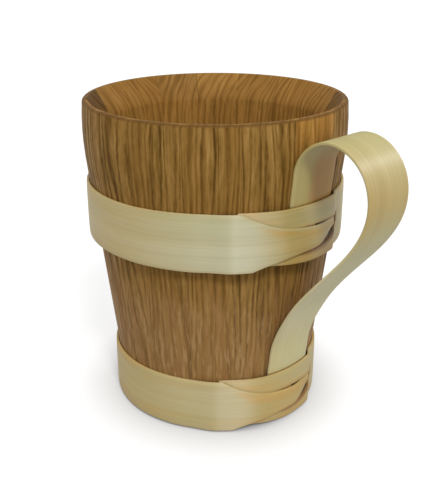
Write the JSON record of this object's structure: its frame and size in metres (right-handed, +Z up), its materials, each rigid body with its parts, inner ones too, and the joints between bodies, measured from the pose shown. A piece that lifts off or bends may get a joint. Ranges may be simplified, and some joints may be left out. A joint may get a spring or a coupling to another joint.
{
  "type": "wooden tankard",
  "caption": "Tapered drinking tankard of oak staves bound by pale bent-wood hoops with interlocked ends, and a looped strip handle tucked under the hoops; holds a drink.",
  "frame": {"origin": "on the axis of the cup, in the plane of the stave feet that stands on the table", "axes": "+Z up along the cup's axis, +X through the middle of the handle, +Y to the left of the handle seen from behind the cup"},
  "size_m": [0.1562, 0.1198, 0.145],
  "materials": {
    "oak": "smooth planed and rubbed, satin",
    "floor_oak": "planed, matt",
    "hoop_wood": "shaved pale strip, soft sheen",
    "handle_wood": "shaved pale strip, soft sheen"
  },
  "bodies": {
    "root": {"stave_01": "oak", "stave_02": "oak", "stave_03": "oak", "stave_04": "oak", "stave_05": "oak", "stave_06": "oak", "stave_07": "oak", "stave_08": "oak", "stave_09": "oak", "stave_10": "oak", "stave_11": "oak", "stave_12": "oak", "stave_13": "oak", "stave_14": "oak", "stave_15": "oak", "stave_16": "oak", "floor_board": "floor_oak", "top_hoop": "hoop_wood", "bottom_hoop": "hoop_wood", "handle": "handle_wood"}
  },
  "joints": []
}
